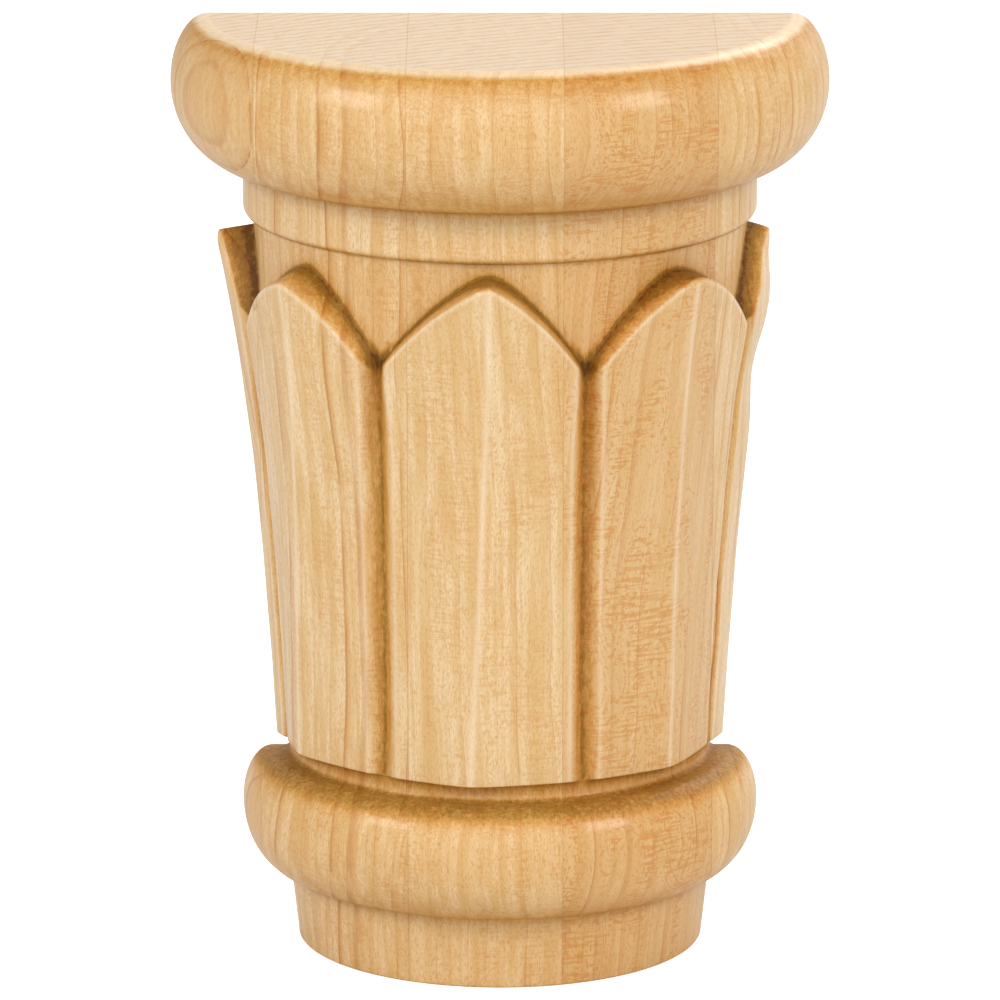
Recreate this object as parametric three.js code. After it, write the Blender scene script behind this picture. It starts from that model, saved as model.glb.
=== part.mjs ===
// Half-round capital moulding, turned and carved from one glued-up blank of maple.
// Millimetres, +Z up. The flat back lies in the plane y = 0 and the rounded front faces -Y.
// The origin is on the axis of the half column, at the underside's straight back edge.
import * as THREE from 'three';

// Overall
const capitalWidth = 127;

// Foot, from the underside up to the lower torus
const footHeight = 14.6;
const footRadius = 39.6;
const footTopRadius = 41.2;
const footEdgeRound = 0.5;

// Lower torus, with its belly at its own height above the foot
const lowerTorusHeight = 23.2;
const lowerTorusBelly = 12.9;
const lowerTorusRadius = 50.4;
const lowerTorusTopRadius = 44.5;

// Neck in the shadow under the leaves
const neckHeight = 2.6;
const neckRadius = 41;
const neckCove = 1.2;
const leafUnderslope = 0.4;
const leafFootSag = 1.2;
const sagSteepness = 6;

// Band of leaves: the outer faces flare from their foot to their tips
const leafHeight = 100.2;
const leafFootRadius = 43.9;
const leafTaper = 6.2;
const leafFlare = 5.4;
const flareSteepness = 3;
const leafEdgeDrop = 1.6;
const faceFlatness = 0.6;
const ridgeSoftness = 0.12;
const leafSpreadDegrees = 5.4;

// Pointed arches at the leaf tips, and the steep walls behind them
const archHeight = 20.5;
const archStraightShare = 0.6;
const valleyDraft = 2.6;
const tipRound = 0.03;
const wallTipRound = 0.11;

// Grooves between the leaves
const grooveFloorWidth = 1;
const grooveStartShare = 0.85;
const grooveRun = 15;
const groundSweep = 1.5;

// Cut by hand, so no two leaves are alike: angle of each ridge from the front at its tip and at its foot,
// height of the tip above the mean, and how far the wall behind the tip leans back
const leaves = [
  { tipAngle: -91, footAngle: -91, tipRise: 0.6, wallDraft: 1.8 },
  { tipAngle: -50, footAngle: -58, tipRise: -3, wallDraft: 2.9 },
  { tipAngle: -2.4, footAngle: -6.2, tipRise: 0.5, wallDraft: 1.6 },
  { tipAngle: 43, footAngle: 43, tipRise: -0.6, wallDraft: 1.1 },
  { tipAngle: 92, footAngle: 92, tipRise: 1, wallDraft: 2 },
];

// Where two arches meet: angle from the front, height above the mean, and width of the groove that runs
// down from there
const valleys = [
  { angle: -79, rise: 1, grooveWidth: 4.4 },
  { angle: -28.3, rise: 0.3, grooveWidth: 5.6 },
  { angle: 19.4, rise: 0.3, grooveWidth: 4.8 },
  { angle: 72.5, rise: 3, grooveWidth: 4.4 },
];

// The right-hand half leaf was shaved thinner at its tip and again lower down
const shaves = [
  { height: 98, reach: 8, depth: 2.5 },
  { height: 72, reach: 8, depth: 1.2 },
];
const shaveAngle = 90;
const shaveWidth = 14;

// Bell between the leaf tips and the ring
const bellHeight = 3.3;
const bellWaistRadius = 46.8;
const bellSteepness = 3;

// Ring below the upper torus
const ringHeight = 10.4;
const ringRadius = 49.7;
const ringRound = 1.8;

// Upper torus, cut off flat a little below its crown
const upperTorusBelly = 15.7;
const shoulderHeight = 12.8;
const shoulderCrown = 13.6;
const shoulderReach = 9;

// Fineness of the mesh
const halfLeafColumns = 6;
const faceRows = 11;
const bellRows = 3;
const torusSteps = 9;
const roundSteps = 3;

// Worked-out sizes
const torusRadius = capitalWidth / 2;
const lowerTorusZ = footHeight;
const neckZ = lowerTorusZ + lowerTorusHeight;
const leafZ = neckZ + neckCove + neckHeight;
const tipZ = leafZ + leafHeight;
const ringZ = tipZ + bellHeight;
const upperTorusZ = ringZ + ringHeight;
const bellyZ = upperTorusZ + upperTorusBelly;
const topZ = bellyZ + shoulderHeight;
const bellTopRadius = ringRadius - ringRound;
const valleyZ = tipZ - archHeight;
const quarterTurn = 90;
const degreesPerMm = 180 / (Math.PI * bellWaistRadius);

const clamp = (value) => Math.min(1, Math.max(0, value));
const mix = (from, to, share) => from + (to - from) * share;
const radians = (degrees) => degrees * Math.PI / 180;

// Share of the leaf band's height at z
const bandShare = (z) => clamp((z - leafZ) / leafHeight);

// Angle at height z of a column that has the given angle at the leaf tips. The grooves keep nearly the same
// spacing all the way down, so their angles spread as the bell narrows; the front and the back edges stay put
function columnAngle(angle, z) {
  return angle + leafSpreadDegrees * (1 - bandShare(z)) * Math.sin(radians(2 * angle));
}

// Outer faces of the leaves, along their ridges
function ridgeRadius(z) {
  const share = (z - leafZ) / leafHeight;
  return leafFootRadius + leafTaper * share + leafFlare * share ** flareSteepness;
}

// The ground that the leaves stand out from: groove floors below, the waisted bell above
function groundRadius(z) {
  if (z < valleyZ) {
    const share = clamp((z - leafZ) / (valleyZ - leafZ));
    return mix(neckRadius, bellWaistRadius, share ** groundSweep);
  }
  const share = clamp((z - valleyZ) / (ringZ - valleyZ));
  return mix(bellWaistRadius, bellTopRadius, share ** bellSteepness);
}

// Drop of an arch from its tip, at a share of the way to the valley
function archDrop(share, round) {
  const soft = Math.hypot(share, round);
  return archHeight * (archStraightShare * soft + (1 - archStraightShare) * soft ** 2);
}

// Angle of a leaf's ridge at height z; below the arches it wanders towards its place at the foot
function ridgeAngle(leaf, z) {
  return mix(leaf.footAngle, leaf.tipAngle, clamp((z - leafZ) / (valleyZ - leafZ)));
}

// The leaf that an angle belongs to, and how far the angle lies from its ridge towards its valley
function leafAt(angle, z) {
  const index = valleys.filter((valley) => valley.angle < angle).length;
  const leaf = leaves[index];
  const ridge = ridgeAngle(leaf, z);
  const valley = angle < ridge ? valleys[index - 1] : valleys[index];
  return { leaf, ridge, valley, share: Math.abs((angle - ridge) / (valley.angle - ridge)) };
}

function archEdge(angle) {
  const { leaf, valley, share } = leafAt(angle, tipZ);
  return tipZ + mix(leaf.tipRise, valley.rise, share) - archDrop(share, tipRound);
}

function wallFoot(angle) {
  const { leaf, valley, share } = leafAt(angle, tipZ);
  const foot = mix(leaf.tipRise + leaf.wallDraft, valley.rise + valleyDraft, share);
  return tipZ + foot - archDrop(share, wallTipRound);
}

// Leaf face at an angle: between a turned surface and two flats that meet on a soft ridge
function faceRadius(angle, z) {
  const { share, ridge, valley } = leafAt(angle, z);
  const softRange = Math.hypot(1, ridgeSoftness) - ridgeSoftness;
  const soft = (Math.hypot(share, ridgeSoftness) - ridgeSoftness) / softRange;
  const crest = ridgeRadius(z);
  const edge = crest - leafEdgeDrop;
  const turned = mix(crest, edge, soft);
  const whole = radians(Math.abs(columnAngle(valley.angle, z) - columnAngle(ridge, z)));
  const part = whole * soft;
  const flat = crest * edge * Math.sin(whole) / (crest * Math.sin(part) + edge * Math.sin(whole - part));
  return mix(turned, flat, faceFlatness) - shaveDepth(angle, z);
}

// Lower edge of the leaves, which hangs a little at the back edges
const leafFoot = (angle) => leafZ - leafFootSag * Math.abs(angle / quarterTurn) ** sagSteepness;

// The grooves start a little narrower between two arches and open out to their full width below
function grooveShare(z) {
  const share = clamp((valleyZ - z) / grooveRun);
  return mix(grooveStartShare, 1, share * share * (3 - 2 * share));
}

function shaveDepth(angle, z) {
  const across = Math.exp(-(((angle - shaveAngle) / shaveWidth) ** 2));
  const hollow = (shave) => shave.depth * Math.exp(-(((z - leafZ - shave.height) / shave.reach) ** 2));
  return across * shaves.reduce((depth, shave) => depth + hollow(shave), 0);
}

// Radius of the carved band at a column's angle and a height
function carvedRadius(angle, z) {
  const ground = groundRadius(z);
  const { valley } = leafAt(angle, z);
  const fromValley = Math.abs(angle - valley.angle) / degreesPerMm;
  const floor = grooveShare(z) * grooveFloorWidth / 2;
  const edge = grooveShare(z) * valley.grooveWidth / 2;
  const across = clamp((fromValley - floor) / (edge - floor));
  const along = clamp((wallFoot(angle) - z) / (wallFoot(angle) - archEdge(angle)));
  return mix(ground, Math.max(ground, faceRadius(angle, z)), Math.min(across, along));
}

// Columns of points: each half of a leaf has its own, and each groove has three on its floor
function columns() {
  const places = [];
  leaves.forEach((leaf, index) => {
    const halves = Math.abs(leaf.tipAngle) < quarterTurn ? 2 : 1;
    for (let step = 0; step <= halves * halfLeafColumns; step += 1) {
      places.push({ leaf: index, share: step / (halves * halfLeafColumns) });
    }
    if (index < valleys.length) {
      places.push({ valley: index, side: -1 }, { valley: index, side: 0 }, { valley: index, side: 1 });
    }
  });
  return places;
}

// Angle of a column where the groove is as wide as it is at height z
function placeAngle(place, z) {
  const floor = grooveShare(z) * grooveFloorWidth / 2 * degreesPerMm;
  if (place.side !== undefined) {
    return valleys[place.valley].angle + place.side * floor;
  }
  const ridge = ridgeAngle(leaves[place.leaf], z);
  const edge = (valley) => grooveShare(z) * valley.grooveWidth / 2 * degreesPerMm;
  const edgeAfter = (valley) => valley.angle + edge(valley);
  const edgeBefore = (valley) => valley.angle - edge(valley);
  const start = place.leaf > 0 ? edgeAfter(valleys[place.leaf - 1]) : -quarterTurn;
  const end = place.leaf < valleys.length ? edgeBefore(valleys[place.leaf]) : quarterTurn;
  if (Math.abs(ridge) >= quarterTurn) {
    return mix(start, end, place.share);
  }
  const fromRidge = 2 * place.share - 1;
  return mix(ridge, fromRidge < 0 ? start : end, Math.abs(fromRidge));
}

// A quarter of an ellipse as profile points: from its side to its crown or its foot, or back
function quarterArc(centreRadius, centreZ, reach, rise, from, to, steps) {
  const points = [];
  for (let step = 0; step <= steps; step += 1) {
    const turn = radians(mix(from, to, step / steps));
    points.push([centreRadius + reach * Math.cos(turn), centreZ + rise * Math.sin(turn)]);
  }
  return points;
}

// Turned profile below the leaves, from the underside up
function lowerProfile() {
  const belly = lowerTorusZ + lowerTorusBelly;
  const underReach = lowerTorusRadius - footTopRadius;
  const overReach = lowerTorusRadius - lowerTorusTopRadius;
  return [
    [footRadius - footEdgeRound, 0],
    [footRadius, footEdgeRound],
    ...quarterArc(footTopRadius, belly, underReach, lowerTorusBelly, -quarterTurn, 0, torusSteps),
    ...quarterArc(lowerTorusTopRadius, belly, overReach, neckZ - belly, 0, quarterTurn, torusSteps).slice(1),
    ...quarterArc(neckRadius + neckCove, neckZ + neckCove, -neckCove, -neckCove, quarterTurn, 0, roundSteps),
  ];
}

// Turned profile above the bell, up to the edge of the flat top
function upperProfile() {
  const underReach = torusRadius - ringRadius;
  const shoulderRadius = torusRadius - shoulderReach;
  const cut = Math.asin(Math.min(1, shoulderHeight / shoulderCrown)) * 180 / Math.PI;
  const cornerZ = ringZ + ringRound;
  const corner = quarterArc(bellTopRadius, cornerZ, ringRound, ringRound, -quarterTurn, 0, roundSteps);
  return [
    ...corner.slice(1),
    ...quarterArc(ringRadius, bellyZ, underReach, upperTorusBelly, -quarterTurn, 0, torusSteps),
    ...quarterArc(shoulderRadius, bellyZ, shoulderReach, shoulderCrown, 0, cut, torusSteps).slice(1),
  ];
}

// One row of points for each profile point, and rows that follow the arches through the carved band
function surfaceRows() {
  const places = columns();
  const point = (radius, angle, z) => {
    const turn = radians(columnAngle(angle, z));
    return new THREE.Vector3(radius * Math.sin(turn), -radius * Math.cos(turn), z);
  };
  const turnedRow = ([radius, z]) => places.map((place) => point(radius, placeAngle(place, z), z));
  const carvedRow = (height) => places.map((place) => {
    const z = height(placeAngle(place, tipZ));
    const angle = placeAngle(place, z);
    return point(carvedRadius(angle, z), angle, z);
  });
  const underLeaves = places.map((place) => {
    const angle = placeAngle(place, leafZ);
    return point(neckRadius, angle, leafFoot(angle) - leafUnderslope);
  });
  const rows = [...lowerProfile().map(turnedRow), underLeaves];
  for (let step = 0; step <= faceRows; step += 1) {
    rows.push(carvedRow((angle) => mix(leafFoot(angle), archEdge(angle), step / faceRows)));
  }
  for (let step = 0; step <= bellRows; step += 1) {
    rows.push(carvedRow((angle) => mix(wallFoot(angle), ringZ, step / bellRows)));
  }
  rows.push(...upperProfile().map(turnedRow));
  return rows;
}

// Closes the rows into one solid: the carved front, the flat underside and top, and the flat back
function halfRoundSolid(rows) {
  const across = rows[0].length;
  const last = rows.length - 1;
  const points = rows.flat();
  const at = (row, column) => row * across + column;
  const triangles = [];
  for (let row = 0; row < last; row += 1) {
    for (let column = 0; column < across - 1; column += 1) {
      const corners = [at(row, column), at(row, column + 1), at(row + 1, column + 1), at(row + 1, column)];
      triangles.push([corners[0], corners[1], corners[2]], [corners[0], corners[2], corners[3]]);
    }
  }
  const under = points.push(new THREE.Vector3(0, 0, 0)) - 1;
  const top = points.push(new THREE.Vector3(0, 0, topZ)) - 1;
  for (let column = 0; column < across - 1; column += 1) {
    triangles.push([under, at(0, column + 1), at(0, column)]);
    triangles.push([top, at(last, column), at(last, column + 1)]);
  }
  const rightSide = rows.map((row, index) => at(index, across - 1));
  const leftSide = rows.map((row, index) => at(index, 0)).reverse();
  const outline = [under, ...rightSide, top, ...leftSide];
  const flat = outline.map((index) => new THREE.Vector2(points[index].x, points[index].z));
  THREE.ShapeUtils.triangulateShape(flat, []).forEach(([a, b, c]) => {
    triangles.push([outline[a], outline[c], outline[b]]);
  });
  const geometry = new THREE.BufferGeometry().setFromPoints(points);
  geometry.setIndex(triangles.flat());
  geometry.computeVertexNormals();
  return geometry;
}

const maple = new THREE.MeshStandardMaterial({ color: 0xe3be91, roughness: 0.45, metalness: 0 });
const capital = new THREE.Mesh(halfRoundSolid(surfaceRows()), maple);
capital.name = 'capital';

const part = new THREE.Group();
part.add(capital);

export default part;
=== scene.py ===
# Half-round maple capital moulding: the smooth carved mesh, its wood, the studio and the camera.
# The shape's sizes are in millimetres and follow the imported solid; the mesh itself is in metres.
import math

import bpy
import numpy as np
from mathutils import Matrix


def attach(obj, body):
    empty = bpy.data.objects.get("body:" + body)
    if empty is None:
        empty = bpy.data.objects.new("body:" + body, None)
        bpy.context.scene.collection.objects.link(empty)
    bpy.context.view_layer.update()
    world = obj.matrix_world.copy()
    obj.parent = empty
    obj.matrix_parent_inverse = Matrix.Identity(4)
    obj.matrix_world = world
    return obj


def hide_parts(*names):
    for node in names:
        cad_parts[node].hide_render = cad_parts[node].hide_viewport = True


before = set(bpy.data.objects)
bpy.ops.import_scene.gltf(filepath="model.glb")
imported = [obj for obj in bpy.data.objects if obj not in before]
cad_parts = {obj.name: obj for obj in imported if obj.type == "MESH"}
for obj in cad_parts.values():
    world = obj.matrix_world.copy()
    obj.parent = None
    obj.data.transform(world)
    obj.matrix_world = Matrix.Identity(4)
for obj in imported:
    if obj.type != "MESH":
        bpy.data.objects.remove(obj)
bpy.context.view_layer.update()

MM = 0.001

# Foot
foot_height = 14.6
foot_radius = 39.6
foot_top_radius = 41.2
foot_edge_round = 0.5

# Lower torus
lower_torus_height = 23.2
lower_torus_belly = 12.9
lower_torus_radius = 50.4
lower_torus_top_radius = 44.5

# Neck in the shadow under the leaves
neck_height = 2.6
neck_radius = 41
neck_cove = 1.2
leaf_underslope = 0.4
leaf_foot_sag = 1.2
sag_steepness = 6

# Band of leaves
leaf_height = 100.2
leaf_foot_radius = 43.9
leaf_taper = 6.2
leaf_flare = 5.4
flare_steepness = 3
leaf_edge_drop = 1.6
face_flatness = 0.6
ridge_softness = 0.12
leaf_spread_degrees = 5.4

# Pointed arches and the walls behind them
arch_height = 20.5
arch_straight_share = 0.6
valley_draft = 2.6
tip_round = 0.03

# Grooves between the leaves
groove_floor_width = 1
groove_start_share = 0.85
groove_run = 15
ground_sweep = 1.5

# Ridge angle at the tip and at the foot, rise of the tip, and the draft of the wall behind it with the
# rounding of its peak
leaves = np.array([
    (-91, -91, 0.6, 1.8, 0.11),
    (-50, -58, -3, 2.5, 0.04),
    (-2.4, -6.2, 0.5, 1.6, 0.11),
    (43, 43, -0.6, 1.1, 0.11),
    (92, 92, 1, 2, 0.11),
])
tip_angles, foot_angles, tip_rises, wall_drafts, wall_rounds = leaves.T

# Angle of each valley between two arches, its rise, and the width of the groove that runs down from it
valleys = np.array([
    (-79, 1, 4.4),
    (-28.3, 0.3, 5.6),
    (19.4, 0.3, 4.8),
    (72.5, 3, 4.4),
])
valley_angles, valley_rises, groove_widths = valleys.T

# Height above the leaf feet, reach and depth of the shaved hollows in the right-hand half leaf
shaves = [(98, 8, 2.5), (72, 8, 1.2)]
shave_angle = 90
shave_width = 14

# Bell, ring and upper torus
bell_height = 3.3
bell_waist_radius = 46.8
bell_steepness = 3
ring_height = 10.4
ring_radius = 49.7
ring_round = 1.8
torus_radius = 63.5
upper_torus_belly = 15.7
shoulder_height = 12.8
shoulder_crown = 13.6
shoulder_reach = 9

# Softening that the solid leaves out: rounded arrises, hollow corners and hand-cut unevenness
top_arris = 1.5
arris_shares = np.array([0.2, 0.12, 0.12, 0.12, 0.2])
corner_share = 0.15
groove_arris_share = 0.45
groove_corner_share = 0.3
ridge_fillet = 0.07
ridge_fillet_reach = 0.6
tip_wear = 0.6
tip_wear_reach = 1.6
tip_wear_angle = 76
tip_wear_run = 12
hand_wave = 0.09
hand_wave_length = 26
chisel_wave = 0.22
chisel_length = 4.5
chisel_stretch = 0.4

# How much each kind of surface is darkened, by the finish it soaks up and by painted shade in hollows,
# corners,
# joins and under the leaves: 0 on the sanded leaf faces, about 1 in the hollows and nearly 3 in the deepest
# corners. Painted highlights on the groove and arch edges, the leaf ridges and the top's rim are taken off it
turned_soak = 0.25
crosscut_soak = 0.85
crosscut_start = 0.3
crosscut_run = 0.55
under_share = 0.55
# Painted highlight on the rounded rim of the top
rim_height = 1.3
rim_steepness = 1.6
rim_highlight = 0.35
plain_soak = 0.3
# Painted light: the ring soaks up nothing, so it stays paler than the other turned parts under the torus
ring_painted_light_soak = 0
back_soak = 0.1
# Pooled finish and painted shade in the grooves, darkest along their middle
groove_soak_and_shade = 1.1
groove_line_soak_and_shade = 0.7
groove_line_reach = 0.45
# Soaked-up end grain and painted shade on each arch's wall, darker towards its foot
wall_soaks_and_shade = np.array([1.5, 0.75, 0.5, 0.65, 1.2])
wall_brink_share = 0.6
wall_foot_share = 1.3
# Painted shade along the inner corner at the foot of each arch's wall
corner_shade = 1.4
corner_shade_reach = 0.6
# Painted shade in the deep pocket at the foot of each valley
pocket_shade_depth = 2.8
pocket_shade_reach = 1.8
# Soaked-up finish and painted shade on the bell just above the walls, fading upwards
bell_soak_and_shade = 1
bell_reach = 3
# Painted shade on the underslope in the shadow under the leaf feet
shaded_soak = 1.2
torus_shade_height = 15
# Painted highlights along each leaf's ridge and along the groove and arch edges
ridge_highlight = 0.4
edge_highlight_strength = 0.35
edge_highlight_reach = 0.5
highlight_start = 0.7

# Fineness of the mesh: how many columns and rows there are, and how much they crowd where the surface turns
side_columns = 30
half_leaf_columns = 18
groove_columns = 14
face_rows = 112
wall_rows = 12
bell_rows = 26
arc_rows = 26
column_crowding = 0.7
face_row_crowding = 0.4
bell_row_crowding = 1.5
underslope_shares = (0, 0.5, 0.9, 0.98)
underslope_lip = 0.6
underslope_steepness = 4

# Worked-out sizes
neck_z = foot_height + lower_torus_height
leaf_z = neck_z + neck_cove + neck_height
tip_z = leaf_z + leaf_height
ring_z = tip_z + bell_height
upper_torus_z = ring_z + ring_height
belly_z = upper_torus_z + upper_torus_belly
top_z = belly_z + shoulder_height
bell_top_radius = ring_radius - ring_round
valley_z = tip_z - arch_height
degrees_per_mm = math.degrees(1 / bell_waist_radius)

# Heights where two turned forms meet, with the reach and depth of the painted shade line there. The lower
# torus is a little darker over most of its height too
shaded_lines = [
    (0, 0.4, 0.3),
    (foot_height, 0.9, 0.7),
    (foot_height + torus_shade_height, 8, 0.1),
    (neck_z, 2.6, 0.5),
    (ring_z, 0.9, 0.9),
    (upper_torus_z, 1.1, 1.1),
]


def clamp(value):
    return np.clip(value, 0, 1)


def mix(start, end, share):
    return start + (end - start) * share


def eased(value):
    value = clamp(value)
    return value * value * (3 - 2 * value)


# Ramp from 0 to 1 whose lower and upper corners are rounded over the given shares of it
def soft_ramp(value, low, high):
    rising = np.where(value < low, (value + low) ** 2 / (4 * low), value)
    falling = 1 - (1 + high - value) ** 2 / (4 * high)
    ramp = np.where(value > 1 - high, falling, rising)
    return np.where(value < -low, 0, np.where(value > 1 + high, 1, ramp))


def column_angle(angle, z):
    share = clamp((z - leaf_z) / leaf_height)
    return angle + leaf_spread_degrees * (1 - share) * np.sin(np.radians(2 * angle))


def ridge_radius(z):
    share = (z - leaf_z) / leaf_height
    return leaf_foot_radius + leaf_taper * share + leaf_flare * share ** flare_steepness


def ground_radius(z):
    below = clamp((z - leaf_z) / (valley_z - leaf_z)) ** ground_sweep
    above = clamp((z - valley_z) / (ring_z - valley_z)) ** bell_steepness
    waist = mix(neck_radius, bell_waist_radius, below)
    return np.where(z < valley_z, waist, mix(bell_waist_radius, bell_top_radius, above))


def arch_drop(share, rounding):
    soft = np.hypot(share, rounding)
    return arch_height * (arch_straight_share * soft + (1 - arch_straight_share) * soft ** 2)


# The leaf that an angle belongs to, its ridge, its nearest valley and the share of the way to it
def leaf_at(angle, z):
    leaf = np.searchsorted(valley_angles, angle)
    ridge = mix(foot_angles[leaf], tip_angles[leaf], clamp((z - leaf_z) / (valley_z - leaf_z)))
    valley = np.clip(np.where(angle < ridge, leaf - 1, leaf), 0, len(valley_angles) - 1)
    return leaf, ridge, valley, np.abs((angle - ridge) / (valley_angles[valley] - ridge))


def arch_edge(angle):
    leaf, _, valley, share = leaf_at(angle, tip_z)
    return tip_z + mix(tip_rises[leaf], valley_rises[valley], share) - arch_drop(share, tip_round)


def wall_foot(angle):
    leaf, _, valley, share = leaf_at(angle, tip_z)
    foot = mix(tip_rises[leaf] + wall_drafts[leaf], valley_rises[valley] + valley_draft, share)
    return tip_z + foot - arch_drop(share, wall_rounds[leaf])


def shave_depth(angle, z):
    across = np.exp(-(((angle - shave_angle) / shave_width) ** 2))
    along = sum(depth * np.exp(-(((z - leaf_z - height) / reach) ** 2)) for height, reach, depth in shaves)
    return across * along


def face_radius(angle, z):
    _, ridge, valley, share = leaf_at(angle, z)
    soft_range = math.hypot(1, ridge_softness) - ridge_softness
    soft = (np.hypot(share, ridge_softness) - ridge_softness) / soft_range
    crest = ridge_radius(z)
    edge = crest - leaf_edge_drop
    turned = mix(crest, edge, soft)
    whole = np.radians(np.abs(column_angle(valley_angles[valley], z) - column_angle(ridge, z)))
    part = whole * soft
    flat = crest * edge * np.sin(whole) / (crest * np.sin(part) + edge * np.sin(whole - part))
    return mix(turned, flat, face_flatness) - shave_depth(angle, z)


def leaf_foot(angle):
    return leaf_z - leaf_foot_sag * np.abs(angle / 90) ** sag_steepness


def groove_share(z):
    return mix(groove_start_share, 1, eased((valley_z - z) / groove_run))


# Gentle unevenness of a surface cut by hand: a few crossed waves of unlike lengths
def hand_cut(across, z, length):
    waves = [(1, 0.31, 0.4), (-0.63, 0.74, 1.9), (0.37, -1.27, 3.1), (1.71, 0.52, 5.2)]
    turns = [(side * across + up * z) * 2 * math.pi / length + start for side, up, start in waves]
    return sum(np.sin(turn) for turn in turns) / len(waves)


# Radius of the carved band, and how much it is darkened by soaked-up finish and by painted shade, less its
# painted highlights. The shares across a groove and along an arch's wall run from 0 on the ground to 1 on the
# leaf's face
def carved_radius(angle, z):
    ground = ground_radius(z)
    leaf, ridge, valley, _ = leaf_at(angle, z)
    nearest = np.abs(angle - valley_angles[valley]) / degrees_per_mm
    from_ridge = np.abs(angle - ridge) / degrees_per_mm
    floor = groove_share(z) * groove_floor_width / 2
    edge = groove_share(z) * groove_widths[valley] / 2
    across = soft_ramp((nearest - floor) / (edge - floor), groove_corner_share, groove_arris_share)
    foot = wall_foot(angle)
    brink = arch_edge(angle)
    along = soft_ramp((foot - z) / (foot - brink), corner_share, arris_shares[leaf])
    standing = np.minimum(across, along)
    arc = angle / degrees_per_mm
    crest = np.exp(-((from_ridge / ridge_fillet_reach) ** 2))
    worn_tip = tip_wear * np.exp(-((np.maximum(brink - z, 0) / tip_wear_reach) ** 2))
    worn_tip = worn_tip * eased((np.abs(angle) - tip_wear_angle) / tip_wear_run)
    waves = hand_wave * hand_cut(arc, z, hand_wave_length)
    face = face_radius(angle, z) + waves + ridge_fillet * crest - worn_tip
    halfway = 4 * standing * (1 - standing)
    chisel = chisel_wave * hand_cut(arc, z * chisel_stretch, chisel_length) * halfway
    # Soaked-up finish and painted shade on the walls behind the arches
    on_wall = flank(along) * mix(wall_foot_share, wall_brink_share, along) * across
    # Pooled finish and painted shade down each groove and along its centre line
    centre_line = groove_line_soak_and_shade * np.exp(-((nearest / groove_line_reach) ** 2))
    groove_part = (groove_soak_and_shade * (1 - across ** 2) + centre_line) * along
    # Painted shade along the inner corner where each wall meets the bell
    corner = corner_shade * np.exp(-(((z - foot) / corner_shade_reach) ** 2)) * (1 - flank(across))
    # Painted shade in the pocket where a groove meets the foot of the walls
    pocket_shade = pocket_shade_depth * np.exp(-(np.hypot(nearest, z - foot) / pocket_shade_reach) ** 2)
    # Soaked-up finish and painted shade on the bell above each wall's foot
    above = bell_soak_and_shade * np.exp(-np.maximum(z - foot, 0) / bell_reach) * (1 - along)
    inside = np.minimum(nearest - edge, brink - z)
    # Painted highlights just inside the groove and arch edges and along each ridge, taken off the soak
    edge_highlight = edge_highlight_strength * np.exp(-(((inside - edge_highlight_reach) / edge_highlight_reach) ** 2))
    edge_and_ridge_highlight = np.maximum(ridge_highlight * crest, edge_highlight) * (z < brink + 1)
    soak_and_shade = wall_soaks_and_shade[leaf] * on_wall + groove_part + corner + pocket_shade
    soak_and_shade = soak_and_shade + np.maximum(above, plain_soak * (1 - along))
    soak_and_shade = soak_and_shade - edge_and_ridge_highlight * eased((standing - highlight_start) / (1 - highlight_start))
    return mix(ground, np.maximum(ground, face), standing) + chisel, soak_and_shade


# 1 along the middle of a ramp from 0 to 1, and 0 beyond both its ends
def flank(share, fade=0.12):
    return eased(share / fade) * eased((1 - share) / fade)


# Crowds the columns of a leaf towards its edges, and towards its ridge too unless it is a half leaf
def spread(share, outer):
    whole = share if outer else share * 2 % 1
    crowded = mix(whole, (1 - math.cos(whole * math.pi)) / 2, column_crowding)
    return crowded if outer else (math.floor(share * 2) + crowded) / 2


# Columns of points from left to right: the groove or leaf that each belongs to, and its share across it
def columns():
    places = []
    for leaf in range(len(leaves)):
        outer = abs(tip_angles[leaf]) >= 90
        count = half_leaf_columns if outer else 2 * side_columns
        places += [("leaf", leaf, spread(step / count, outer)) for step in range(count + 1)]
        if leaf < len(valley_angles):
            steps = range(1, groove_columns)
            places += [("groove", leaf, 2 * step / groove_columns - 1) for step in steps]
    return places


places = columns()
in_groove = np.array([kind == "groove" for kind, _, _ in places])
owner = np.array([index for _, index, _ in places])
place_share = np.array([share for _, _, share in places])


def place_angles(z):
    last = len(valley_angles) - 1
    after = np.clip(owner, 0, last)
    before = np.clip(owner - 1, 0, last)
    half_widths = groove_widths / 2 * degrees_per_mm
    groove = valley_angles[after] + place_share * groove_share(z) * half_widths[after]
    ridge = mix(foot_angles[owner], tip_angles[owner], clamp((z - leaf_z) / (valley_z - leaf_z)))
    start = np.where(owner > 0, valley_angles[before] + groove_share(z) * half_widths[before], -90)
    end = np.where(owner <= last, valley_angles[after] - groove_share(z) * half_widths[after], 90)
    from_ridge = 2 * place_share - 1
    split = mix(ridge, np.where(from_ridge < 0, start, end), np.abs(from_ridge))
    return np.where(in_groove, groove, np.where(np.abs(ridge) >= 90, mix(start, end, place_share), split))


# A quarter of an ellipse as profile points
def quarter_arc(centre_radius, centre_z, reach, rise, start, end, steps):
    turns = np.radians(np.linspace(start, end, steps + 1))
    return [(centre_radius + reach * math.cos(turn), centre_z + rise * math.sin(turn)) for turn in turns]


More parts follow.
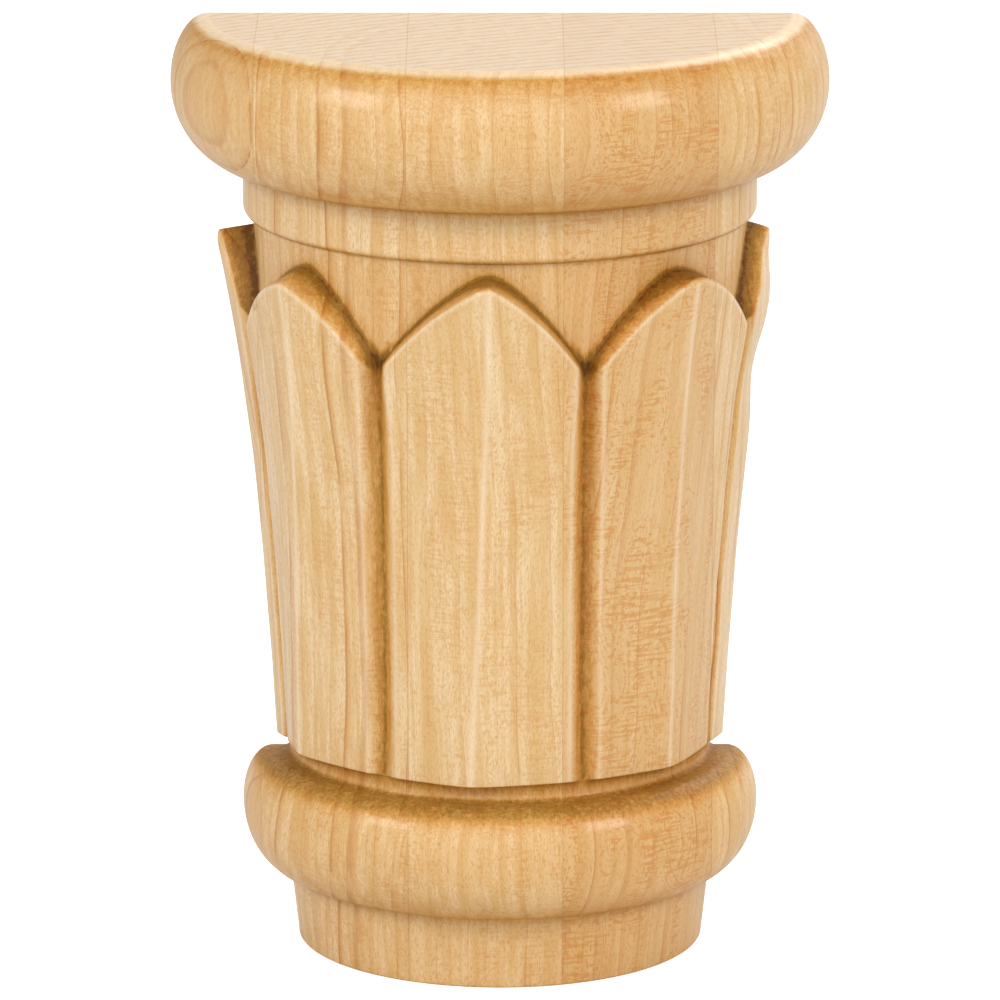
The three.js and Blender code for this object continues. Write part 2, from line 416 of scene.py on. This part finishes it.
def lower_profile():
    belly = foot_height + lower_torus_belly
    under = lower_torus_radius - foot_top_radius
    over = lower_torus_radius - lower_torus_top_radius
    edge_round = foot_edge_round
    edge = quarter_arc(foot_radius - edge_round, edge_round, edge_round, edge_round, -90, 0, 4)
    wall = [(mix(foot_radius, foot_top_radius, step / 8), mix(edge_round, foot_height, step / 8))
            for step in range(1, 8)]
    lower = quarter_arc(foot_top_radius, belly, under, lower_torus_belly, -90, 0, arc_rows)
    upper = quarter_arc(lower_torus_top_radius, belly, over, neck_z - belly, 0, 90, arc_rows)[1:]
    cove = quarter_arc(neck_radius + neck_cove, neck_z + neck_cove, -neck_cove, -neck_cove, 90, 0, 6)
    return edge + wall + lower + upper + cove


# The shoulder runs into the flat top through a rounded arris as wide as top_arris
def upper_profile():
    shoulder = torus_radius - shoulder_reach
    under = torus_radius - ring_radius
    cut = math.degrees(math.asin(shoulder_height / shoulder_crown))
    corner_z = ring_z + ring_round
    corner = quarter_arc(bell_top_radius, corner_z, ring_round, ring_round, -90, 0, 8)[1:]
    ring = [(ring_radius, mix(corner_z, upper_torus_z, step / 6)) for step in range(1, 6)]
    lower = quarter_arc(ring_radius, belly_z, under, upper_torus_belly, -90, 0, arc_rows)
    upper = quarter_arc(shoulder, belly_z, shoulder_reach, shoulder_crown, 0, cut, arc_rows)[1:]
    rim_radius, rim_z = upper[-1]
    kept = [point for point in upper if math.dist(point, (rim_radius, rim_z)) > top_arris]
    start = np.array(kept[-1])
    inner = np.array([rim_radius - top_arris, rim_z])
    rim = np.array([rim_radius, rim_z])
    arris = []
    for step in range(1, 9):
        share = step / 8
        arris.append(tuple(mix(mix(start, rim, share), mix(rim, inner, share), share)))
    return corner + ring + lower + kept + arris


# Rows of points from the underside up, each with its radius, angle, height, and its soaked-up finish with
# painted shade and highlights at every column
def surface_rows():
    rows = []

    def turned(radius, z):
        height = np.full(len(places), float(z))
        # The ring is painted paler, as painted light under the torus
        base = ring_painted_light_soak if ring_z < z < upper_torus_z else turned_soak
        soak_and_shade = base + sum(
            depth * np.exp(-(((z - line) / reach) ** 2)) for line, reach, depth in shaded_lines)
        angles = place_angles(height)
        rows.append((np.full(len(places), float(radius)), angles, height, np.full(len(places), soak_and_shade)))

    def carved(height):
        z = height(place_angles(np.full(len(places), tip_z)))
        angle = place_angles(z)
        radius, soak_and_shade = carved_radius(angle, z)
        rows.append((radius, angle, z, soak_and_shade))

    for radius, z in lower_profile():
        turned(radius, z)
    angle = place_angles(np.full(len(places), leaf_z))
    foot_radii, _ = carved_radius(angle, leaf_foot(angle))
    # The rows under the leaf feet carry painted shade
    for share in underslope_shares:
        radius = mix(neck_radius, foot_radii, share)
        z = leaf_foot(angle) - leaf_underslope * (1 - underslope_lip * share ** underslope_steepness)
        rows.append((radius, angle, z, np.full(len(places), shaded_soak)))
    for step in range(face_rows + 1):
        even = step / face_rows
        share = mix(even, math.sin(even * math.pi / 2), face_row_crowding)
        carved(lambda angle, share=share: mix(leaf_foot(angle), arch_edge(angle), share))
    for step in range(1, wall_rows):
        carved(lambda angle, share=step / wall_rows: mix(arch_edge(angle), wall_foot(angle), share))
    for step in range(bell_rows + 1):
        share = (step / bell_rows) ** bell_row_crowding
        carved(lambda angle, share=share: mix(wall_foot(angle), ring_z, share))
    for radius, z in upper_profile():
        turned(radius, z)
    return [np.array(part) for part in zip(*rows)]


# Adds what turned surfaces soak up where they face up or down, across the fibres, and puts a painted
# highlight on the top's rim
def with_crosscut(points, soak_and_shade):
    z = points[..., 2]
    normals = np.cross(np.gradient(points, axis=1), np.gradient(points, axis=0))
    upright = normals[..., 2] / np.maximum(np.linalg.norm(normals, axis=-1), 1e-9)
    turned = (z < leaf_z - leaf_foot_sag - leaf_underslope) | (z > ring_z)
    level = eased((np.abs(upright) - crosscut_start) / crosscut_run)
    crosscut = crosscut_soak * level * np.where(upright > 0, 1, under_share)
    # Painted highlight along the top's rim
    rim = eased((z - top_z + rim_height) / rim_height * rim_steepness)
    return mix(soak_and_shade + crosscut * turned, -rim_highlight, rim)


# Quads of the front, two strips of the flat back that meet on the axis, and fans for the underside and top
def capital_faces(index, spine):
    front = np.stack([index[:-1, :-1], index[:-1, 1:], index[1:, 1:], index[1:, :-1]], axis=-1)
    left, right = index[:, 0], index[:, -1]
    back = []
    for row in range(len(spine) - 1):
        back.append([left[row], left[row + 1], spine[row + 1], spine[row]])
        back.append([right[row], spine[row], spine[row + 1], right[row + 1]])
    ends = []
    for column in range(index.shape[1] - 1):
        ends.append([spine[0], index[0, column + 1], index[0, column]])
        ends.append([spine[-1], index[-1, column], index[-1, column + 1]])
    return front.reshape(-1, 4).tolist(), np.array(back).tolist(), np.array(ends).tolist()


# The whole capital as one closed mesh: carved front, flat underside, top and back
def capital_mesh():
    radius, angle, z, soak_and_shade = surface_rows()
    turn = np.radians(column_angle(angle, z))
    points = np.stack([radius * np.sin(turn), -radius * np.cos(turn), z], axis=-1)
    points[:, [0, -1], 1] = 0
    spine_z = (points[:, 0, 2] + points[:, -1, 2]) / 2
    spine_z[0], spine_z[-1] = 0, top_z
    spine_points = np.stack([0 * spine_z, 0 * spine_z, spine_z], axis=-1)
    index = np.arange(radius.size).reshape(radius.shape)
    front, back, ends = capital_faces(index, radius.size + np.arange(len(spine_z)))
    mesh = bpy.data.meshes.new("capital_carved")
    vertices = np.concatenate([points.reshape(-1, 3), spine_points]) * MM
    mesh.from_pydata(vertices.tolist(), [], front + back + ends)
    mesh.update()
    front_faces = len(front)
    number = np.arange(len(mesh.polygons))
    mesh.polygons.foreach_set("use_smooth", number < front_faces)
    mesh.polygons.foreach_set("material_index", (number >= front_faces + len(back)).astype(int))
    # Soaked-up finish together with painted shade and painted highlights, kept on every corner of the mesh
    soak_and_shade = with_crosscut(points, soak_and_shade)
    corners = np.zeros(len(mesh.loops), int)
    mesh.loops.foreach_get("vertex_index", corners)
    loop_soak_and_shade = np.full(len(corners), back_soak, np.float32)
    loop_soak_and_shade[:4 * front_faces] = soak_and_shade.ravel()[corners[:4 * front_faces]]
    attribute = mesh.attributes.new("soak_and_shade", "FLOAT", "CORNER")
    attribute.data.foreach_set("value", loop_soak_and_shade)
    return mesh


# A soft light that faces the capital: azimuth from the front and elevation in degrees, sizes in metres
def studio_light(name, azimuth, elevation, distance, width, height, power):
    turn, tilt = math.radians(azimuth), math.radians(elevation)
    flat = math.cos(tilt) * distance
    light = bpy.data.lights.new(name, "AREA")
    light.shape = "RECTANGLE"
    light.size, light.size_y = width, height
    light.energy = power
    item = bpy.data.objects.new(name, light)
    item.location = (flat * math.sin(turn), -flat * math.cos(turn), math.sin(tilt) * distance + aim_height)
    item.rotation_euler = (math.pi / 2 - tilt, 0, turn)
    bpy.context.scene.collection.objects.link(item)


# Staves from left to right, in millimetres: the boundary on the left of each, where the tree's pith lay in
# plan, and how far the trunk leaned to the right over the capital's height. Then the strengths of the warm
# tone, ray fleck, curl and ring lines
stave_traits = ("left", "pith_x", "pith_y", "lean", "warm", "fleck", "curl", "lines")
stave_values = [
    (-80, -101, -47.2, 4, 0.6, 0.15, 0.2, 1.2),
    (-46.5, 35, -52, 3, 0.2, 0.4, 0.1, 1.3),
    (-17.6, -100, -36, -3, 0.3, 0.4, 0.1, 0.6),
    (12, 102, 14, 9, 1, 1, 0.4, 1.3),
    (41, 121, 5, 3, 0.25, 0.3, 1, 1.4),
]
staves = [dict(zip(stave_traits, values)) for values in stave_values]
stave_offset = 37
pith_distance = 80
ring_spacing = 3.4
ring_unevenness = 2.4
trunk_wander = 11
glue_line_width = 0.18

# Colours of the wood, of its finish where it pools together with painted shade, of the painted highlights,
# and of the saw marks on the cut ends
pale_wood = (0.83, 0.65, 0.405, 1)
golden_wood = (0.70, 0.465, 0.20, 1)
warm_wood = (0.63, 0.365, 0.145, 1)
late_wood = (0.44, 0.17, 0.035, 1)
fleck_wood = (0.61, 0.28, 0.07, 1)
# Colour of the painted highlights on edges, ridges and the top's rim
painted_highlight_colour = (0.88, 0.74, 0.55, 1)
sawn_wood = (0.70, 0.57, 0.43, 1)
glue_brown = (0.40, 0.19, 0.06, 1)
glaze_and_shade = (0.86, 0.65, 0.30, 1)
deep_glaze_and_shade = (0.48, 0.45, 0.27, 1)
pooled_glaze_and_shade = (0.45, 0.38, 0.32, 1)
saw_pitch = 3.4
saw_slope = 0.45
saw_curve = 0.0018
saw_wobble = 0.8
saw_depth = 0.8

# Sheen of the finish, and depth of its fine relief in millimetres
satin_roughness = 0.42
roughness_range = 0.16
specular_level = 0.2
coat_weight = 0.36
end_coat_weight = 0.2
coat_roughness = 0.18
bump_strength = 0.35
bump_depth = 0.05

# Studio: the height that the lights aim at, and the floor's size and glow, in metres
aim_height = 0.1
floor_reach = 20
floor_grey = 0.75
floor_glow = 0.6
world_light = 0.5

# Camera of the photograph: a long lens, looking down at the capital
lens_length = 324
sensor_width = 36
camera_back = 1.70072
camera_height = 0.5204
camera_dip = 14.29


# Short ways to add shader nodes. A value is a number, a colour or another node's output
class NodeMaker:
    def __init__(self, tree):
        self.nodes, self.links = tree.nodes, tree.links

    def put(self, socket, value):
        if isinstance(value, bpy.types.NodeSocket):
            self.links.new(value, socket)
        else:
            socket.default_value = value

    def calc(self, operation, *values):
        node = self.nodes.new("ShaderNodeMath")
        node.operation = operation
        for socket, value in zip(node.inputs, values):
            self.put(socket, value)
        return node.outputs[0]

    def times(self, value, *factors):
        for factor in factors:
            value = self.calc("MULTIPLY", value, factor)
        return value

    def plus(self, first, second):
        return self.calc("ADD", first, second)

    def minus(self, first, second):
        return self.calc("SUBTRACT", first, second)

    def rise(self, value, low, high):
        node = self.nodes.new("ShaderNodeMapRange")
        node.interpolation_type = "SMOOTHSTEP"
        self.put(node.inputs["Value"], value)
        node.inputs["From Min"].default_value = low
        node.inputs["From Max"].default_value = high
        return node.outputs["Result"]

    # Noise over a place, with so many waves in each millimetre along its three directions
    def noise(self, place, waves, detail=2.0, roughness=0.5, shift=0.0):
        across = self.calc("MULTIPLY_ADD", place[0], waves[0], shift)
        point = self.nodes.new("ShaderNodeCombineXYZ")
        along, up = [self.times(value, wave) for value, wave in zip(place[1:], waves[1:])]
        for socket, value in zip(point.inputs, (across, along, up)):
            self.put(socket, value)
        node = self.nodes.new("ShaderNodeTexNoise")
        self.put(node.inputs["Vector"], point.outputs[0])
        node.inputs["Scale"].default_value = 1
        node.inputs["Detail"].default_value = detail
        node.inputs["Roughness"].default_value = roughness
        return node.outputs["Fac"]

    def chance(self, value):
        node = self.nodes.new("ShaderNodeTexWhiteNoise")
        node.noise_dimensions = "1D"
        self.put(node.inputs["W"], value)
        return node.outputs["Value"]

    # Sockets 6 and 7 of a mix node are its two colours, and output 2 is the mixed colour
    def tint(self, share, start, end, blend="MIX"):
        node = self.nodes.new("ShaderNodeMix")
        node.data_type = "RGBA"
        node.blend_type = blend
        self.put(node.inputs["Factor"], share)
        self.put(node.inputs[6], start)
        self.put(node.inputs[7], end)
        return node.outputs[2]


# Maple as a solid block: rings round each stave's pith, rays that run out from it, and upright fibres.
# The block is the place in millimetres, and the trunk is the same place as seen from the stave's pith
class Maple(NodeMaker):
    def __init__(self, tree):
        super().__init__(tree)
        place = self.nodes.new("ShaderNodeTexCoord")
        split = self.nodes.new("ShaderNodeSeparateXYZ")
        self.links.new(place.outputs["Object"], split.inputs[0])
        self.block = [self.times(socket, 1 / MM) for socket in split.outputs]
        self.passed = [self.calc("GREATER_THAN", self.block[0], stave["left"]) for stave in staves[1:]]
        number = 0.0
        for beyond in self.passed:
            number = self.plus(beyond, number)
        self.offset = self.times(number, stave_offset)
        self.trunk = self.seen_from_pith()
        self.fibre = self.noise(self.block, (2.6, 2.6, 0.11), 2.0, 0.6)
        self.fine = self.noise(self.block, (3.8, 3.8, 0.9), 1.0)
        self.rough_cut = self.noise(self.block, (1.3, 1.3, 0.6), 3.0, 0.65)

    def by_stave(self, trait):
        value = staves[0][trait]
        for before, stave, beyond in zip(staves, staves[1:], self.passed):
            value = self.calc("MULTIPLY_ADD", beyond, stave[trait] - before[trait], value)
        return value

    # How far out from the pith, how far round it and how high
    def seen_from_pith(self):
        x, y, z = self.block
        drift = self.noise(self.block, (0.022, 0.022, 0.011), shift=self.offset)
        slant = self.times(self.calc("DIVIDE", z, top_z), self.by_stave("lean"))
        wander = self.calc("MULTIPLY_ADD", self.minus(drift, 0.5), trunk_wander, slant)
        across = self.minus(self.minus(x, self.by_stave("pith_x")), wander)
        along = self.minus(y, self.by_stave("pith_y"))
        out = self.calc("SQRT", self.plus(self.times(across, across), self.times(along, along)))
        return out, self.times(self.calc("ARCTAN2", along, across), pith_distance), z

    # Growth rings, unevenly spaced, each fading in and ending sharply: their soft halo, line and yearly tone
    def rings(self):
        out = self.trunk[0]
        jitter = self.noise((out, self.offset, 0.0), (0.16, 1.0, 1.0), 1.0, shift=self.offset)
        ring = self.plus(self.calc("DIVIDE", out, ring_spacing), self.times(jitter, ring_unevenness))
        year = self.calc("FLOOR", ring)
        within = self.calc("FRACT", ring)
        luck = self.calc("POWER", self.chance(self.plus(year, self.offset)), 2.0)
        breaks = self.rise(self.noise(self.trunk, (0.3, 0.3, 0.03), 1.0), 0.35, 0.6)
        strength = self.calc("MULTIPLY_ADD", luck, self.times(breaks, 0.9), 0.2)
        ending = self.minus(1.0, self.rise(within, 0.97, 1.0))
        strength = self.times(strength, ending, self.by_stave("lines"))
        halo = self.times(self.rise(within, 0.55, 0.97), strength)
        line = self.times(self.rise(within, 0.86, 0.97), strength)
        tone = self.times(self.chance(self.minus(91.0, year)), self.rise(within, 0.0, 0.6))
        return halo, line, tone

    # Rays are thin plates that run out from the pith. Where the surface lies along them they show as short
    # level bars, stacked in upright bands, with dots beside the bands
    def rays(self):
        amount = self.by_stave("fleck")
        band = self.noise(self.trunk, (0.17, 0.25, 0.045), 0.0)
        group = self.rise(self.noise(self.trunk, (0.08, 0.12, 0.09), 1.0), 0.36, 0.52)
        in_band = self.times(self.rise(band, 0.49, 0.55), group, amount)
        bars = self.rise(self.noise(self.trunk, (0.2, 0.5, 2.0), 0.0), 0.5, 0.62)
        beside = self.times(self.rise(band, 0.4, 0.46), amount)
        contour = self.calc("ABSOLUTE", self.minus(self.calc("FRACT", self.times(band, 16.0)), 0.5))
        dots = self.rise(self.noise(self.trunk, (1.1, 1.3, 1.7), 0.0), 0.48, 0.6)
        return in_band, self.times(bars, in_band), self.times(self.rise(contour, 0.15, 0.4), dots, beside)

    # Bare wood: broad streaks first, then layers of colour, each with its share
    def bare(self):
        streak = self.noise(self.trunk, (0.55, 0.3, 0.012), 3.0, 0.6)
        curl = self.times(self.noise(self.block, (0.1, 0.1, 0.42), 1.0), self.by_stave("curl"))
        pore = self.rise(self.noise(self.block, (4.4, 4.4, 1.0), 0.0), 0.56, 0.68)
        halo, line, tone = self.rings()
        in_band, bars, dots = self.rays()
        colour = self.tint(self.rise(streak, 0.36, 0.64), pale_wood, golden_wood)
        layers = [
            (tone, 0.3, golden_wood),
            (self.by_stave("warm"), 0.6, warm_wood),
            (self.rise(curl, 0.45, 0.75), 0.25, golden_wood),
            (self.rise(self.fibre, 0.42, 0.66), 0.4, golden_wood),
            (self.rise(self.fine, 0.4, 0.65), 0.25, golden_wood),
            (in_band, 0.35, golden_wood),
            (bars, 0.6, fleck_wood),
            (dots, 0.7, fleck_wood),
            (pore, 0.45, fleck_wood),
            (halo, 0.5, fleck_wood),
            (line, 0.5, late_wood),
        ]
        for where, share, wood in layers:
            colour = self.tint(self.times(where, share), colour, wood)
        return colour

    # The sawn ends keep bowed saw marks: their colour, their relief and the weight of the coat on them
    def sawn(self):
        x, y, _ = self.block
        bow = self.calc("MULTIPLY_ADD", x, saw_curve, -saw_slope)
        stroke = self.calc("MULTIPLY_ADD", bow, x, y)
        stray = self.noise(self.block, (0.12, 0.5, 0.1), 2.0)
        stroke = self.calc("MULTIPLY_ADD", stray, saw_wobble, self.calc("DIVIDE", stroke, saw_pitch))
        marks = self.rise(self.calc("SINE", self.times(stroke, 2 * math.pi)), 0.2, 1.0)
        colour = self.tint(0.65, self.bare(), sawn_wood)
        colour = self.tint(self.times(marks, self.rough_cut, 0.9), colour, fleck_wood)
        return colour, self.times(marks, -saw_depth), end_coat_weight

    # Elsewhere hollows and crosscut places soak up more of the finish and carry painted shade, and painted
    # highlights pale the edges, ridges and the top's rim
    def finished(self):
        attribute = self.nodes.new("ShaderNodeAttribute")
        attribute.attribute_name = "soak_and_shade"
        soak_and_shade = attribute.outputs["Fac"]
        painted_highlight = self.calc("MAXIMUM", self.times(soak_and_shade, -1.0), 0.0)
        soaked_and_shaded = self.calc("MAXIMUM", soak_and_shade, 0.0)
        soaked_and_shaded = self.times(soaked_and_shaded, self.calc("MULTIPLY_ADD", self.rough_cut, 1.4, 0.3))
        colour = self.tint(painted_highlight, self.bare(), painted_highlight_colour)
        # Three tints for soaked-up finish and painted shade, the last one the painted shade in the deepest
        # corners
        stains_and_shade = [
            (self.calc("MINIMUM", soaked_and_shaded, 1.0), glaze_and_shade),
            (self.rise(soaked_and_shaded, 0.7, 2.0), deep_glaze_and_shade),
            (self.rise(soaked_and_shaded, 2.3, 3.6), pooled_glaze_and_shade),
        ]
        for share, stain in stains_and_shade:
            colour = self.tint(share, colour, stain, "MULTIPLY")
        relief = self.times(self.rough_cut, self.calc("MINIMUM", soaked_and_shaded, 1.5), 1.2)
        sealed = self.minus(1.0, self.rise(soaked_and_shaded, 0.7, 1.4))
        return colour, relief, self.times(sealed, coat_weight)

    # A thin brown glue line between each two staves
    def glued(self, colour):
        joint = 0.0
        for stave in staves[1:]:
            away = self.calc("ABSOLUTE", self.minus(self.block[0], stave["left"]))
            joint = self.calc("MAXIMUM", joint, self.minus(1.0, self.rise(away, 0.0, glue_line_width)))
        return self.tint(self.times(joint, 0.4), colour, glue_brown)

    def grain_relief(self):
        return self.plus(self.times(self.fine, 0.6), self.times(self.fibre, 0.4))


def maple_material(name, sawn):
    material = bpy.data.materials.new(name)
    material.use_nodes = True
    maple = Maple(material.node_tree)
    colour, relief, coat = maple.sawn() if sawn else maple.finished()
    bump = maple.nodes.new("ShaderNodeBump")
    bump.inputs["Strength"].default_value = bump_strength
    bump.inputs["Distance"].default_value = bump_depth * MM
    maple.put(bump.inputs["Height"], maple.plus(maple.grain_relief(), relief))
    shader = maple.nodes["Principled BSDF"]
    maple.put(shader.inputs["Base Color"], maple.glued(colour))
    maple.put(shader.inputs["Normal"], bump.outputs["Normal"])
    roughness = maple.calc("MULTIPLY_ADD", maple.fine, roughness_range, satin_roughness)
    maple.put(shader.inputs["Roughness"], roughness)
    maple.put(shader.inputs["Coat Weight"], coat)
    shader.inputs["Specular IOR Level"].default_value = specular_level
    shader.inputs["Coat Roughness"].default_value = coat_roughness
    return material


capital = bpy.data.objects.new("capital_carved", capital_mesh())
bpy.context.scene.collection.objects.link(capital)
capital.data.materials.append(maple_material("maple", sawn=False))
capital.data.materials.append(maple_material("maple_end_grain", sawn=True))
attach(capital, "root")
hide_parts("capital")

# Pale card under the capital; to the camera it is nearly evenly white
floor_mesh = bpy.data.meshes.new("floor")
floor_corners = [(x * floor_reach, y * floor_reach, 0) for x, y in ((-1, -1), (1, -1), (1, 1), (-1, 1))]
floor_mesh.from_pydata(floor_corners, [], [(0, 1, 2, 3)])
floor = bpy.data.objects.new("floor", floor_mesh)
bpy.context.scene.collection.objects.link(floor)
card = bpy.data.materials.new("card")
card.use_nodes = True
card_shader = card.node_tree.nodes["Principled BSDF"]
card_shader.inputs["Base Color"].default_value = (floor_grey, floor_grey, floor_grey, 1)
card_shader.inputs["Roughness"].default_value = 0.9
card_shader.inputs["Emission Color"].default_value = (1, 1, 1, 1)
light_path = card.node_tree.nodes.new("ShaderNodeLightPath")
seen = card.node_tree.nodes.new("ShaderNodeMath")
seen.operation = "MULTIPLY"
seen.inputs[1].default_value = floor_glow
card.node_tree.links.new(light_path.outputs["Is Camera Ray"], seen.inputs[0])
card.node_tree.links.new(seen.outputs[0], card_shader.inputs["Emission Strength"])
floor.data.materials.append(card)

world = bpy.data.worlds.new("studio")
world.use_nodes = True
world.node_tree.nodes["Background"].inputs["Color"].default_value = (1, 1, 1, 1)
world.node_tree.nodes["Background"].inputs["Strength"].default_value = world_light
bpy.context.scene.world = world
bpy.context.scene.view_settings.view_transform = "Standard"

studio_light("left_softbox", -57, 31, 1.5, 0.55, 0.45, 7.5)
studio_light("right_softbox", 53, 31, 1.5, 0.5, 0.45, 7)
studio_light("front_panel", 0, 30, 3, 3, 2, 26)
studio_light("back_panel", 165, 16, 2.6, 3, 1.6, 8)
studio_light("rim_softbox", 145, 42, 1.5, 0.9, 0.8, 9)

camera_data = bpy.data.cameras.new("camera")
camera_data.lens = lens_length
camera_data.sensor_width = sensor_width
camera = bpy.data.objects.new("camera", camera_data)
camera.location = (0, -camera_back, camera_height)
camera.rotation_euler = (math.radians(90 - camera_dip), 0, 0)
bpy.context.scene.collection.objects.link(camera)
bpy.context.scene.camera = camera
